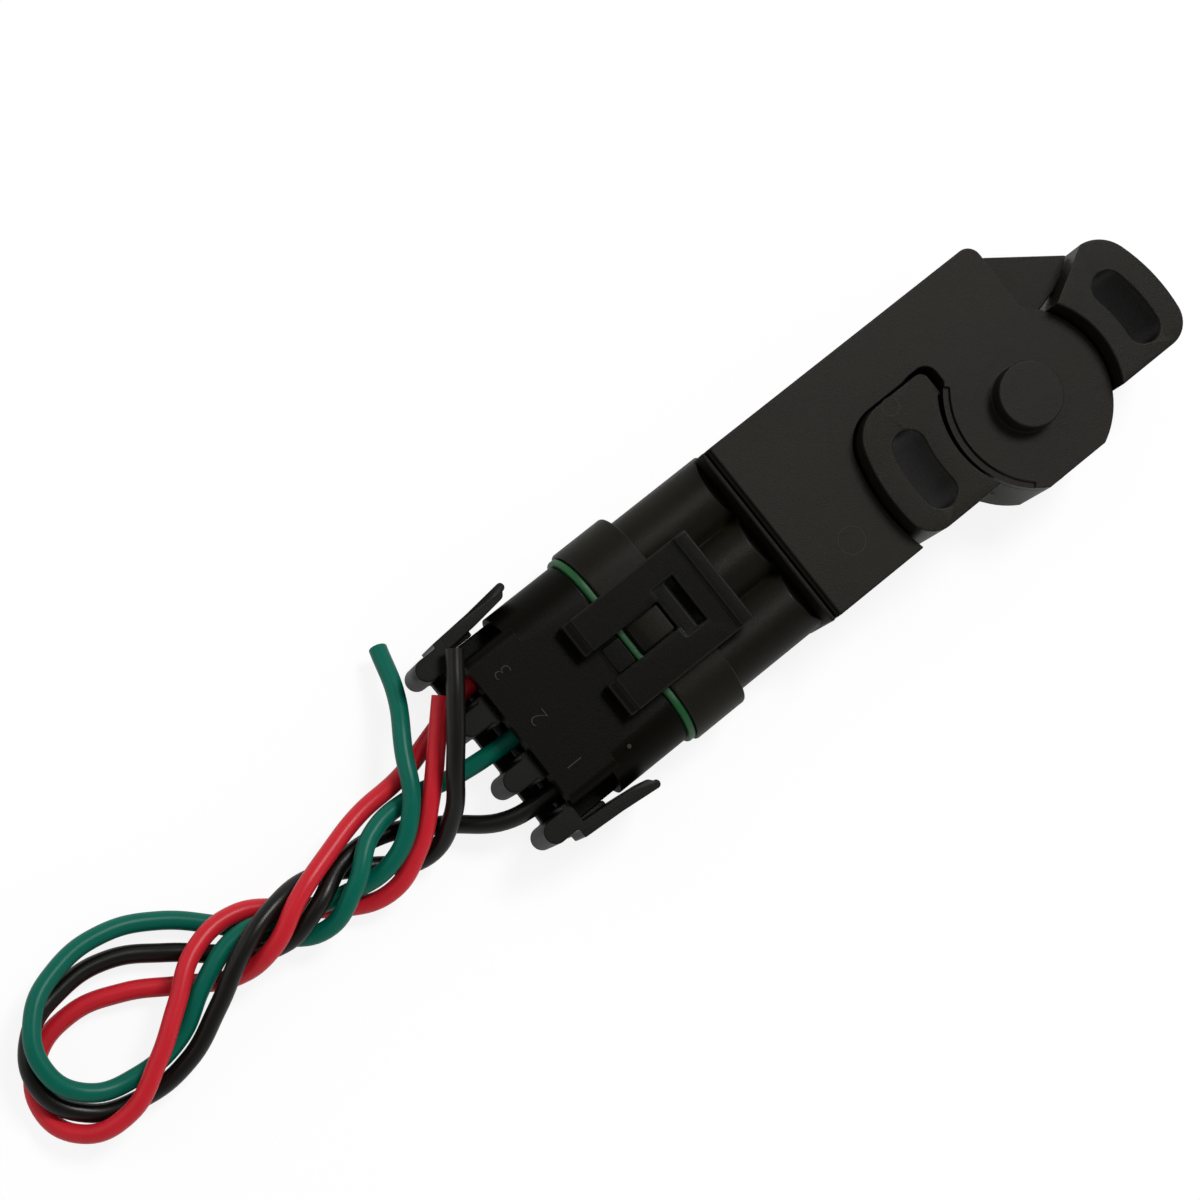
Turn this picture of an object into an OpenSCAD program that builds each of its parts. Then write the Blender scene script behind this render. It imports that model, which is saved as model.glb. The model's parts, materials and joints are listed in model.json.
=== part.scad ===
// Throttle position sensor with its sealed three-way plug and leads.
// Frame: origin on the rotor axis in the mounting face, +X towards the far ear,
// +Z away from the throttle body.

/* [Housing] */
// Rotor axis to the straight end of the cover plate
plate_end = 39.2; // [36:0.2:44]
// Width of the housing under the cover plate
body_w = 28; // [26:0.1:28.5]
// Sideways distance from the rotor axis to the housing's middle
body_y = 7; // [6.5:0.1:7.5]
// Rotor axis to the shoulder beside the right ear
shoulder_x = 7.9; // [6.5:0.1:9]
// Radius of the drum round the rotor axis
lobe_r = 12.6; // [12:0.1:13.5]
// How far the drum is cut back beside the left ear
lobe_relief = 1.2; // [0.4:0.1:1.6]
// Height of the cover plate's top above the mounting face
plate_top = 13.7; // [13.4:0.1:15]
// Underside of the long housing above the mounting face
body_floor = 1.5; // [0.5:0.1:2.5]
// Height of the web that joins the ears to the drum
web_h = 6; // [4:0.5:8]

/* [Cover plate] */
// Thickness of the cover plate
plate_t = 1.8; // [1.5:0.1:2]
// Radius of the round boss over the rotor's pivot
boss_r = 4.6; // [4:0.1:5.5]
// How far the boss stays below the ears' tops
boss_drop = 0; // [0:0.1:1.5]

/* [Mounting ears] */
// Distance between the middles of the two slots
slot_pitch = 37.6; // [37:0.1:38.4]
// Width of a slot
slot_w = 4.8; // [4.3:0.1:5.2]
// Angle that a slot's middle line sweeps about the rotor axis, in degrees
slot_sweep = 21; // [16:1:24]
// Angle of a slot's middle above the line of the ears, in degrees
slot_lift = 3.5; // [2:0.5:5]
// Wall outside the slot
ear_wall = 3.6; // [3.2:0.1:4.6]
// Running gap between the drum and an ear
ear_gap = 0.5; // [0.4:0.1:1.2]
// Height of the ears above the mounting face
ear_h = 16.7; // [15.5:0.1:19]
// Lower end of the ears below the rotor axis
ear_low = 6.8; // [6.4:0.1:7.4]
// Upper end of the ears above the rotor axis
ear_high = 11.6; // [11.2:0.1:12]

/* [Connector] */
// Distance between neighbouring contacts
pitch = 8.8; // [8:0.1:9]
// Sideways distance from the rotor axis to the connector's middle
conn_y = 7.35; // [6.5:0.05:7.8]
// Height of the contacts above the mounting face
conn_z = 6.7; // [6.6:0.1:7.2]
// Radius of a contact column
column_r = 5.2; // [4.8:0.1:5.5]
// Length of the columns from the housing to the shroud
column_l = 14.5; // [12:0.1:18]
// Outside radius of the shroud's round ends
shroud_r = 6.6; // [6.4:0.1:6.6]
// Wall of the shroud
shroud_wall = 1.3; // [1.1:0.1:1.5]
// Length of the shroud
shroud_l = 8.2; // [8:0.1:9]

/* [Plug] */
// Radius of the plug body's round sides
plug_r = 5.65; // [5.4:0.05:5.9]
// Length of the wide plug body behind the seal
plug_l = 11.5; // [10:0.1:13]
// Length of the narrower rear block
plug_rear_l = 6.9; // [6:0.1:8]
// Width of the rear block
plug_rear_w = 23.6; // [23.2:0.1:25]
// Visible width of the green seal between shroud and plug
seal_show = 1.1; // [0.8:0.1:1.5]
// Width of the latch
latch_w = 14.7; // [13.6:0.1:15.6]
// Width of one latch arm
latch_arm_w = 5.1; // [4.6:0.1:5.2]
// Thickness of the latch arms
latch_t = 1.85; // [1.5:0.05:2.2]
// Width of the lock nub in the latch window
nub_w = 4; // [3.4:0.1:4.2]

/* [Wires] */
// Outside diameter of a lead
wire_d = 2.5; // [2.2:0.1:2.6]

/* [Rotor] */
// Radius of the rotor's neck
neck_r = 4.6; // [4.4:0.1:5]
// Radius of the drive socket
socket_r = 3.2; // [2.8:0.1:3.4]
// Depth of the drive socket
socket_l = 5.6; // [4:0.1:5.8]
// Width of the two keyways in the drive socket
key_w = 1.6; // [1.2:0.1:2]
// Radius of the pilot recess that takes the throttle shaft's boss
pilot_r = 7.4; // [7:0.1:7.8]
// Depth of the pilot recess
pilot_l = 1.6; // [1.2:0.1:1.8]
// Running clearance between turning and fixed surfaces
run_gap = 0.05; // [0.03:0.01:0.08]

/* [Hidden] */
$fn = 96;

// Small overlap that lets cutters break through a face
cut = 0.5;
// Gap between moulded parts that rest against each other
fit_gap = 0.05;

// Housing
body_lo = body_y - body_w / 2;
body_hi = body_y + body_w / 2;
deck_z = plate_top - plate_t;
boss_h = ear_h - boss_drop - plate_top;
groove_w = 0.8;
rim_w = 0.6;
rim_drop = 0.2;
plate_ledge = 0.4;
ledge_drop = 0.7;
body_end = plate_end + groove_w + rim_w;
shoulder_round = 2;
lobe_flat = lobe_r - 1.1;
relief_y = -0.5;
drum_foot_r = lobe_r - 0.6;

// Ears
slot_r = slot_pitch / 2;
ear_in = lobe_r + ear_gap;
ear_out = slot_r + slot_w / 2 + ear_wall;
ear_round = 4;
ear_top_round = 5.5;
hook_x = 10.1;
hook_round = 1.3;
slope_x = 10.3;
slope_y = 7;
slope_a = 28;
notch_r = ear_out + ear_gap;
notch_top = ear_high + 0.5;
hook_gap_r = 1.9;
hook_gap_x = hook_x - 0.6;
gusset_t = 2.4;
gusset_x = 18.4;
gusset_y = 11.6;
gusset_start = 2.6;

// Connector stations along X, measured away from the rotor
x_body = -body_end;
x_shroud = x_body - column_l;
x_rim = x_shroud - shroud_l;
x_seat = x_rim - seal_show - fit_gap;
x_step = x_seat - plug_l;
x_rear = x_step - plug_rear_l;
column_bevel = 1.7;
valley_z = conn_z + sqrt(column_r * column_r - pitch * pitch / 4);
shroud_in = shroud_r - shroud_wall;
shroud_back_t = 1.2;
shroud_top = conn_z + shroud_r;
nose_r = shroud_in - 1.7;
nose_gap = 0.8;
sleeve_l = 5.2;
rib_places = [1, 3.2];
rib_w = 1;
flange_inset = 0.4;
x_nose = x_shroud - shroud_back_t - nose_gap;
pin_w = 1.5;
pin_t = 0.8;
x_pin_tip = x_nose - 4.6;
x_pin_up = x_body + 3.2;
pin_lead = 1.4;

// Rotor stack, from the mounting face upwards
seal_h = 1.4;
bearing_h = 1.8;
floor_z = pilot_l + seal_h + bearing_h;
chamber_r = 9;
flange_r = 8.5;
flange_t = 1.2;
board_t = 0.9;
board_z = deck_z - board_t;
flange_z = floor_z + 3.1;
wiper_z = flange_z + flange_t;
pivot_r = 2;
boss_cap = 1.4;
pivot_top = plate_top + boss_h - boss_cap - 0.2;
shaft_seal_r = 6;
ring_r = (pilot_r + drum_foot_r) / 2 - 0.2;
ring_w = 1.8;
ring_h = 1.3;
board_wall = 1.6;

// Wiper
wiper_ring = [5, 2.6];
wiper_t = 0.25;
wiper_w = 0.9;
wiper_pitch = 1.2;
wiper_root = 3.6;
wiper_heel = 5.2;
wiper_toe = 7;
wiper_tip = 7.7;

// Return spring
coil_r = neck_r + 1;
coil_wire = 0.8;
coil_turns = 2.25;
coil_steps = 20;
coil_z = floor_z + coil_wire / 2 + 0.1;
coil_rise = 0.93;
coil_leg = 7.9;
stop_r = 7.2;
stop_h = 1.4;

// Plug and latch
latch_z = shroud_top + 0.15;
latch_front = x_shroud + 5.8;
lip_l = 2.1;
lip_h = 0.8;
release_slot = [1.3, 7.2];
x_window = x_shroud - 2.8;
window_bar = 2.3;
pad_w = 7.4;
pad_drop = 0.8;
latch_tail = x_seat - 5.7;
latch_foot = [2.4, 4.2];
latch_gap = latch_w - 2 * latch_arm_w;
tail_drop = 0.9;
tail_l = 1.9;
plug_top = conn_z + plug_r;
rear_h = 2 * plug_r;
rear_round = 1.6;
nub_gap = 0.35;
nub_l = 5;
cavity_r = 3.05;
cavity_l = 7.2;
terminal_w = 2.4;
terminal_h = 2.2;
terminal_box_l = 9;
tang_w = 1.6;
crimp_r = 1.7;
crimp_l = 3.2;
strands_r = 1.1;
strands_l = 1.5;
seal_len = 6;
cable_rib_w = 1.1;
cable_rib_step = 2.1;
rib_h = 0.45;
x_seal = x_rear + 0.9;
x_crimp = x_seal + seal_len + 0.3;

// Wire lock
lock_pad_t = 1.1;
lock_depth = 5.3;
lock_low = 0.4;
lock_high = 11;
finger_w = 3.2;
finger_pad_w = 4.4;
lock_arm_t = 1.9;
lock_arm_y = 15.95;
lock_arm_flare = 1;
lock_arm_tip = x_step + 4.2;
lock_web_end = x_step - 2.1;
lock_web_h = 2;
flank_w = 27.5;
flank_z = [2.8, 6.2];
x_lock = x_rear - 0.15;
finger_y = [-12.95, -4.5, 4.7, 13.75];

// Leads: middle points from the crimp to the cut end, laid round a figure of eight and back over the plug
red_route = [
    [-75.7, 16.15, 6.7], [-83.5, 16.15, 6.7], [-90.5, 14.2, 5.6], [-97, 12.5, 4.8], [-104.5, 12, 5.2],
    [-111, 10.5, 6.8], [-117.5, 8.5, 8], [-124, 5.5, 7], [-129.5, 5.5, 3.8], [-135.5, 9, 1.7],
    [-142, 13, 1.4], [-149, 15, 1.4], [-155.5, 13.2, 1.4], [-159, 7.8, 1.5], [-157, 2.2, 3.2],
    [-151, 0.5, 5.2], [-144, 3.5, 6.4], [-138, 7.5, 6.4], [-132, 11.5, 5.4], [-125, 12, 3.4],
    [-119, 8.5, 1.6], [-113.5, 4, 1.6], [-107.5, 1.5, 3.4], [-101.5, 3.5, 5.8], [-96, 8, 7.6],
    [-91, 13.2, 8.4], [-87, 17.4, 8.8]
];
green_route = [
    [-75.7, 7.35, 6.7], [-83.5, 7.35, 6.7], [-91, 8, 5.2], [-98, 9.5, 4.8], [-105, 9, 6.6],
    [-111, 5, 7.2], [-117, 3, 4.6], [-122.5, 6.5, 1.9], [-127.5, 12.5, 1.4], [-133, 17.5, 1.6],
    [-139.5, 20.5, 2.8], [-147, 20.5, 4.4], [-153, 17.5, 6], [-155.8, 11.5, 6.2], [-153.5, 6, 4.8],
    [-147, 3.5, 3.6], [-140, 4, 4], [-133.5, 7.5, 5.2], [-126.5, 9.5, 4.8], [-119.5, 7.5, 4],
    [-112, 5, 3.8], [-105, 4.5, 6], [-99, 8.5, 8], [-95, 15, 7.4], [-91, 21, 5.2],
    [-88.5, 27.5, 2.6]
];
black_route = [
    [-75.7, -1.45, 6.7], [-83.5, -1.45, 6.7], [-89.8, -0.6, 4.8], [-96.5, 4.2, 2.6], [-103.5, 8, 3],
    [-110, 8.5, 5.2], [-116.5, 6, 7], [-122.5, 5, 4.8], [-128.5, 8.5, 2], [-134.5, 13.5, 1.4],
    [-141, 17.5, 1.6], [-148, 18.2, 2.4], [-154.8, 15.8, 3.6], [-157.7, 10, 4], [-155, 4, 3],
    [-148.5, 1, 2.8], [-141, 1, 3.8], [-134, 4, 5.8], [-127.5, 7.5, 7.6], [-121, 9.5, 6.8],
    [-114.5, 9.5, 3.8], [-107.5, 6, 2], [-101, 2.2, 3], [-95.7, 4, 6.9], [-91.5, 9.4, 11.3],
    [-86.9, 15.4, 12.9], [-82.6, 21, 12.9]
];

function signs() = [-1, 1];
function pin_y(i) = conn_y + (2 - i) * pitch;

// A tube along a list of points, as one closed mesh
module tube(path, radius, sides) {
    last = len(path) - 1;
    along = [for (i = [0:last]) path[min(i + 1, last)] - path[max(i - 1, 0)]];
    tangent = [for (t = along) t / norm(t)];
    side = [for (t = tangent) cross([0, 0, 1], t) / norm(cross([0, 0, 1], t))];
    up = [for (i = [0:last]) cross(tangent[i], side[i])];
    rings = [for (i = [0:last], k = [0:sides - 1])
        path[i] + radius * (cos(360 * k / sides) * side[i] + sin(360 * k / sides) * up[i])];
    walls = [for (i = [0:last - 1], k = [0:sides - 1])
        [i * sides + k, i * sides + (k + 1) % sides, (i + 1) * sides + (k + 1) % sides, (i + 1) * sides + k]];
    start_cap = [[for (k = [sides - 1:-1:0]) k]];
    end_cap = [[for (k = [0:sides - 1]) last * sides + k]];
    polyhedron(
        points = rings,
        faces = [for (f = concat(start_cap, walls, end_cap)) [for (j = [len(f) - 1:-1:0]) f[j]]]
    );
}

// Extrudes a Y-Z outline between two stations along X
module along_x(from, to) {
    translate([min(from, to), 0, 0])
        rotate([90, 0, 90])
            linear_extrude(abs(from - to))
                children();
}

// Slot-shaped outline of the connector, in Y and Z
module stadium(radius) {
    translate([conn_y, conn_z]) {
        square([2 * pitch, 2 * radius], center = true);
        for (s = signs()) translate([s * pitch, 0]) circle(r = radius);
    }
}

// Rectangle with rounded corners, in Y and Z
module rounded_block(w, h, r) {
    translate([conn_y, conn_z]) {
        square([w - 2 * r, h], center = true);
        square([w, h - 2 * r], center = true);
        for (sy = signs(), sz = signs()) translate([sy * (w / 2 - r), sz * (h / 2 - r)]) circle(r = r);
    }
}

// Outline of the drum: round on the far side, cut back beside the left ear, flat below
module lobe_2d() {
    intersection() {
        circle(r = lobe_r);
        translate([lobe_relief, relief_y]) circle(r = lobe_r);
        translate([-lobe_r, -lobe_flat]) square([2 * lobe_r, lobe_flat + lobe_r]);
    }
}

// Space round the left ear, hooked at its upper end
module notch_2d() {
    low = body_lo - cut;
    intersection() {
        circle(r = notch_r);
        translate([-notch_r, low]) square([notch_r - hook_gap_x, notch_top - low]);
    }
    translate([-hook_gap_x, notch_top - hook_gap_r]) circle(r = hook_gap_r);
    translate([-hook_gap_x - 2, low])
        square([2 + hook_gap_r, notch_top - hook_gap_r - low]);
}

// Outline that the housing and the cover plate share
module plate_2d() {
    difference() {
        translate([-plate_end, body_lo]) square([plate_end + shoulder_x, body_w]);
        notch_2d();
        translate([shoulder_x - shoulder_round, body_hi - shoulder_round]) difference() {
            square(shoulder_round + cut);
            circle(r = shoulder_round);
        }
    }
    lobe_2d();
}

// Removes the sharp corner where an ear's outer arc meets a level end line
module ear_corner_cut(end_y, r) {
    s = sign(end_y);
    cy = end_y - s * r;
    cx = sqrt((ear_out - r) * (ear_out - r) - cy * cy);
    reach = (ear_out + 2) / norm([cx, cy]);
    difference() {
        polygon([[cx, cy], [cx, end_y + s * 2], [ear_out + 2, end_y + s * 2], [cx * reach, cy * reach]]);
        translate([cx, cy]) circle(r = r);
    }
}

// Ring sector that both ears are cut from, on the +X side
module ear_blank_2d() {
    difference() {
        intersection() {
            difference() {
                circle(r = ear_out);
                circle(r = ear_in);
            }
            translate([0, -ear_low]) square([ear_out, ear_low + ear_high]);
        }
        ear_corner_cut(-ear_low, ear_round);
        ear_corner_cut(ear_high, ear_top_round);
    }
}

module ear_right_2d() {
    difference() {
        ear_blank_2d();
        translate([slope_x, slope_y]) rotate(slope_a) translate([-10, 0]) square([24, 12]);
    }
}

module ear_left_2d() {
    hook_y = ear_high - hook_round;
    difference() {
        union() {
            mirror([1, 0]) ear_blank_2d();
            translate([-hook_x - 3, hook_y - 2.6]) square([3, 2.6]);
            translate([-hook_x - hook_round, hook_y]) circle(r = hook_round);
        }
        translate([-hook_x, ear_low]) square([hook_x, ear_high]);
        difference() {
            translate([-hook_x - hook_round, hook_y]) square([hook_x, hook_round + cut]);
            translate([-hook_x - hook_round, hook_y]) circle(r = hook_round);
        }
    }
}

// Curved mounting slot, with round ends
module slot_cutter(mid_angle, h) {
    translate([0, 0, -cut]) {
        rotate([0, 0, mid_angle - slot_sweep / 2])
            rotate_extrude(angle = slot_sweep)
                translate([slot_r - slot_w / 2, 0]) square([slot_w, h + 2 * cut]);
        for (s = signs())
            rotate([0, 0, mid_angle + s * slot_sweep / 2])
                translate([slot_r, 0, 0]) cylinder(r = slot_w / 2, h = h + 2 * cut);
    }
}

module mounting_ears() {
    difference() {
        linear_extrude(ear_h) ear_right_2d();
        slot_cutter(slot_lift, ear_h);
    }
    difference() {
        linear_extrude(ear_h) ear_left_2d();
        slot_cutter(180 - slot_lift, ear_h);
    }
}

// Low webs that carry the ears on the drum and floor the space round the left ear
module ear_webs() {
    linear_extrude(web_h) difference() {
        intersection() {
            circle(r = ear_in + 1);
            translate([-ear_in - 1, -ear_low + 0.6]) square([2 * ear_in + 2, ear_low + slope_y - 0.6]);
        }
        circle(r = lobe_r - 2);
    }
    hook_right = hook_gap_r - hook_gap_x + cut;
    translate([0, 0, body_floor]) linear_extrude(web_h - body_floor) {
        intersection() {
            difference() {
                circle(r = notch_r + 1);
                circle(r = ear_out - 1);
            }
            translate([-notch_r - 1, body_lo]) square([notch_r, notch_top - body_lo]);
        }
        translate([-notch_r - 1, ear_high - 1])
            square([notch_r + 1 + hook_right, notch_top - ear_high + 1 + cut]);
        translate([-hook_x - 1, slope_y - 1]) square([hook_x + 1 + hook_right, notch_top - slope_y + 1]);
    }
}

// Flat gusset between the shoulder and the right ear
module gusset() {
    translate([0, 0, deck_z - gusset_t]) linear_extrude(gusset_t)
        polygon([
            [shoulder_x - 1, body_hi - gusset_start], [shoulder_x + 0.7, body_hi - gusset_start],
            [gusset_x, gusset_y], [slope_x + 4, slope_y + 2], [slope_x, slope_y + 1],
            [shoulder_x - 1, slope_y + 1]
        ]);
}

// Three joined contact columns, bevelled where they leave the housing
module contact_columns() {
    difference() {
        along_x(x_shroud - shroud_back_t, x_body + 1) {
            for (i = [1:3]) translate([pin_y(i), conn_z]) circle(r = column_r);
            translate([conn_y, conn_z]) square([2 * pitch, 2 * (valley_z - conn_z)], center = true);
        }
        rise = conn_z + column_r - valley_z;
        translate([0, body_hi + 2, 0]) rotate([90, 0, 0]) linear_extrude(body_w + 4)
            polygon([
                [x_body, valley_z], [x_body - column_bevel * (rise + 1) / rise, valley_z + rise + 1],
                [x_body, valley_z + rise + 1]
            ]);
    }
}

module shroud() {
    difference() {
        along_x(x_shroud, x_rim) stadium(shroud_r);
        along_x(x_shroud - shroud_back_t, x_rim - cut) stadium(shroud_in);
    }
}

// Ramped nub on the shroud that the latch window snaps over
module lock_nub() {
    front = x_window - nub_gap;
    top = latch_z + latch_t - 0.7;
    translate([0, conn_y + nub_w / 2, 0]) rotate([90, 0, 0]) linear_extrude(nub_w)
        polygon([
            [front, shroud_top - 1], [front, top], [front - nub_l + 1.6, top],
            [front - nub_l, shroud_top + 0.5], [front - nub_l, shroud_top - 1]
        ]);
}

// Blade contact from the board down into the shroud; grow widens it for its slot
module terminal_pin(i, grow) {
    w = pin_w + 2 * grow;
    t = pin_t + 2 * grow;
    y = pin_y(i);
    translate([x_pin_tip + pin_lead, y - w / 2, conn_z - t / 2])
        cube([x_pin_up - x_pin_tip - pin_lead + t / 2, w, t]);
    translate([x_pin_up - t / 2, y - w / 2, conn_z - t / 2])
        cube([t, w, board_z - conn_z + t / 2]);
    translate([0, y + w / 2, 0]) rotate([90, 0, 0]) linear_extrude(w)
        polygon([
            [x_pin_tip + pin_lead, conn_z - t / 2], [x_pin_tip, conn_z - t / 6],
            [x_pin_tip, conn_z + t / 6], [x_pin_tip + pin_lead, conn_z + t / 2]
        ]);
}

// Shape of the track board, seen from above
module board_2d(inset) {
    translate([-plate_end + board_wall + inset, body_lo + board_wall + inset])
        square([plate_end - notch_r - 2 * (board_wall + inset), body_w - 2 * (board_wall + inset)]);
    bridge_lo = notch_top + board_wall + inset;
    translate([-plate_end + board_wall + inset, bridge_lo])
        square([plate_end - board_wall - inset, body_hi - board_wall - inset - bridge_lo]);
    translate([-chamber_r / 2, 0]) square([chamber_r / 2, bridge_lo + 1]);
    circle(r = chamber_r - inset);
}

module housing() color([0.13, 0.13, 0.13]) {
    difference() {
        union() {
            translate([0, 0, body_floor]) linear_extrude(deck_z - body_floor) plate_2d();
            linear_extrude(deck_z) lobe_2d();
            linear_extrude(web_h) circle(r = drum_foot_r);
            translate([-body_end, body_lo, body_floor])
                cube([groove_w + rim_w + 1, body_w, deck_z - body_floor]);
            translate([-body_end, body_lo, body_floor])
                cube([rim_w, body_w, plate_top - rim_drop - body_floor]);
            mounting_ears();
            ear_webs();
            gusset();
            contact_columns();
            shroud();
            lock_nub();
        }
        // Rotor chamber with its bearing, seal seat and pilot recess
        translate([0, 0, -cut]) cylinder(r = pilot_r, h = pilot_l + cut);
        translate([0, 0, pilot_l - cut]) cylinder(r = shaft_seal_r, h = seal_h + cut);
        cylinder(r = neck_r + run_gap, h = deck_z);
        translate([0, 0, floor_z]) cylinder(r = chamber_r, h = deck_z - floor_z + cut);
        translate([0, 0, -cut]) difference() {
            cylinder(r = ring_r + ring_w / 2, h = ring_h + cut);
            cylinder(r = ring_r - ring_w / 2, h = ring_h + cut);
        }
        // Board pocket and slots for the contact blades
        translate([0, 0, board_z - fit_gap]) linear_extrude(board_t + fit_gap + cut) board_2d(0);
        for (i = [1:3]) terminal_pin(i, fit_gap);
    }
    spring_stop(chamber_r + 0.5);
}

// Post on the chamber's floor that holds the spring's fixed leg
module spring_stop(outer) {
    translate([0, 0, floor_z - 0.2]) intersection() {
        difference() {
            cylinder(r = outer, h = stop_h + 0.2);
            translate([0, 0, -cut]) cylinder(r = stop_r, h = stop_h + 2 * cut);
        }
        translate([coil_wire / 2 + fit_gap, -outer, 0]) cube([2.4, outer, stop_h + 0.2]);
    }
}

module cover_plate() color([0.15, 0.15, 0.15]) {
    difference() {
        union() {
            translate([0, 0, deck_z]) linear_extrude(plate_t) plate_2d();
            translate([-plate_end - plate_ledge, body_lo, deck_z])
                cube([plate_ledge + 1, body_w, plate_t - ledge_drop]);
            translate([0, 0, plate_top - cut]) cylinder(r = boss_r, h = boss_h + cut);
        }
        translate([0, 0, deck_z - cut]) cylinder(r = pivot_r + run_gap, h = pivot_top + 0.2 - deck_z + cut);
    }
}

module rotor() color([0.8, 0.78, 0.7]) {
    difference() {
        union() {
            translate([0, 0, pilot_l]) cylinder(r = neck_r, h = flange_z - pilot_l + 0.1);
            translate([0, 0, flange_z]) cylinder(r = flange_r, h = flange_t);
            cylinder_from_to(pivot_r, flange_z, pivot_top);
        }
        translate([0, 0, pilot_l - cut]) cylinder(r = socket_r, h = socket_l + cut);
        for (a = [0, 180]) rotate([0, 0, a])
            translate([0, -key_w / 2, pilot_l - cut]) cube([socket_r + 0.7, key_w, socket_l + cut]);
    }
    // Driver under the flange that takes the spring's moving leg
    translate([0, 0, flange_z - 1.3]) intersection() {
        difference() {
            cylinder(r = flange_r, h = 1.4);
            translate([0, 0, -cut]) cylinder(r = stop_r, h = 1.4 + 2 * cut);
        }
        rotate([0, 0, 360 * coil_turns]) translate([-2.4 - coil_wire / 2 - fit_gap, -flange_r, 0])
            cube([2.4, flange_r, 1.4]);
    }
}

module cylinder_from_to(r, z0, z1) {
    translate([0, 0, z0]) cylinder(r = r, h = z1 - z0);
}

// Sprung contact fingers, riveted to the rotor's flange
module wiper() color([0.85, 0.7, 0.3]) {
    lift = board_z - run_gap - wiper_z;
    difference() {
        cylinder_from_to(wiper_ring[0], wiper_z, wiper_z + wiper_t);
        cylinder_from_to(wiper_ring[1], wiper_z - cut, wiper_z + cut);
    }
    for (k = [-2:2])
        translate([0, k * wiper_pitch + wiper_w / 2, wiper_z]) rotate([90, 0, 0]) linear_extrude(wiper_w)
            polygon([
                [wiper_root, 0], [wiper_heel, 0], [wiper_toe, lift - wiper_t],
                [wiper_tip, lift - 2 * wiper_t], [wiper_tip, lift - wiper_t], [wiper_toe, lift],
                [wiper_heel - 0.1, wiper_t], [wiper_root, wiper_t]
            ]);
}

module element_board() color([0.35, 0.25, 0.12]) {
    translate([0, 0, board_z]) linear_extrude(board_t) difference() {
        board_2d(fit_gap);
        circle(r = pivot_r + 0.6);
    }
}

module return_spring() color([0.7, 0.7, 0.72]) {
    start = -90;
    turn_points = [for (i = [0:coil_turns * coil_steps])
        let (a = start + 360 * i / coil_steps)
        [coil_r * cos(a), coil_r * sin(a), coil_z + coil_rise * i / coil_steps]];
    fixed_leg = [[0, -coil_leg, coil_z], [0, -coil_r - 1.2, coil_z], [0.1, -coil_r - 0.2, coil_z]];
    end_a = start + 360 * coil_turns;
    end_z = coil_z + coil_rise * coil_turns;
    moving_leg = [for (r = [coil_r + 0.2, coil_r + 1.2, coil_leg]) [r * cos(end_a), r * sin(end_a), end_z]];
    coil = [for (i = [1:len(turn_points) - 2]) turn_points[i]];
    tube(concat(fixed_leg, coil, moving_leg), coil_wire / 2, 8);
}

module shaft_seal() color([0.1, 0.1, 0.1]) {
    difference() {
        cylinder_from_to(shaft_seal_r - fit_gap, pilot_l + fit_gap, pilot_l + seal_h - fit_gap);
        cylinder_from_to(neck_r + run_gap, 0, floor_z);
    }
}

// Ring seal in its groove, flush with the mounting face as when screwed down
module mount_seal() color([0.09, 0.09, 0.09]) {
    rotate_extrude() translate([ring_r, ring_h / 2]) {
        square([ring_w - 0.9, ring_h - 2 * fit_gap], center = true);
        square([ring_w - 2 * fit_gap, ring_h - 0.7], center = true);
    }
}

module terminal_pins(i) color([0.75, 0.72, 0.62]) terminal_pin(i, 0);

// Latch plate with two arms, release lip, release slot and window
module latch() {
    lo = conn_y - latch_w / 2;
    difference() {
        union() {
            translate([latch_tail, lo, latch_z]) cube([latch_front - latch_tail, latch_w, latch_t]);
            translate([latch_front - lip_l, lo, latch_z]) cube([lip_l, latch_w, latch_t + lip_h]);
            for (s = signs()) translate([latch_tail, conn_y + s * (latch_w - latch_arm_w) / 2, 0]) {
                translate([0, -latch_arm_w / 2, latch_z - tail_drop])
                    cube([tail_l, latch_arm_w, tail_drop + 0.2]);
            }
        }
        // Window and the open gap between the arms behind it
        translate([latch_tail - cut, conn_y - latch_gap / 2, latch_z - 2])
            cube([x_window - latch_tail + cut, latch_gap, latch_t + 4]);
        // Lowered pad in front of the window, with the release slot through it
        translate([x_window, conn_y - pad_w / 2, latch_z + latch_t - pad_drop])
            cube([window_bar + release_slot[0], pad_w, pad_drop + cut]);
        translate([x_window + window_bar, conn_y - release_slot[1] / 2, latch_z - cut])
            cube([release_slot[0], release_slot[1], latch_t + 2 * cut]);
    }
    // Feet that carry the arms on the plug body
    for (s = signs())
        translate([x_seat - 1.2 - latch_foot[0], conn_y + s * (latch_w - latch_arm_w) / 2 - latch_foot[1] / 2,
                plug_top - 0.5])
            cube([latch_foot[0], latch_foot[1], latch_z - plug_top + 0.6]);
}

module plug_housing() color([0.14, 0.14, 0.14]) {
    difference() {
        union() {
            along_x(x_seat, x_step) stadium(plug_r);
            along_x(x_step + 1, x_rear) rounded_block(plug_rear_w, rear_h, rear_round);
            translate([x_rear, conn_y - flank_w / 2, flank_z[0]])
                cube([plug_rear_l + 1, flank_w, flank_z[1] - flank_z[0]]);
            along_x(x_nose, x_seat - 1) stadium(nose_r);
            latch();
        }
        for (i = [1:3]) {
            translate([x_rear - cut, pin_y(i), conn_z]) rotate([0, 90, 0])
                cylinder(r = cavity_r, h = cavity_l + cut);
            translate([x_rear, pin_y(i) - terminal_w / 2 - fit_gap, conn_z - terminal_h / 2 - fit_gap])
                cube([x_nose - x_rear + cut, terminal_w + 2 * fit_gap, terminal_h + 2 * fit_gap]);
            translate([x_rear, pin_y(i), conn_z]) rotate([0, 90, 0])
                cylinder(r = 1.85, h = x_nose - x_rear - 8);
        }
    }
}

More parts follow.
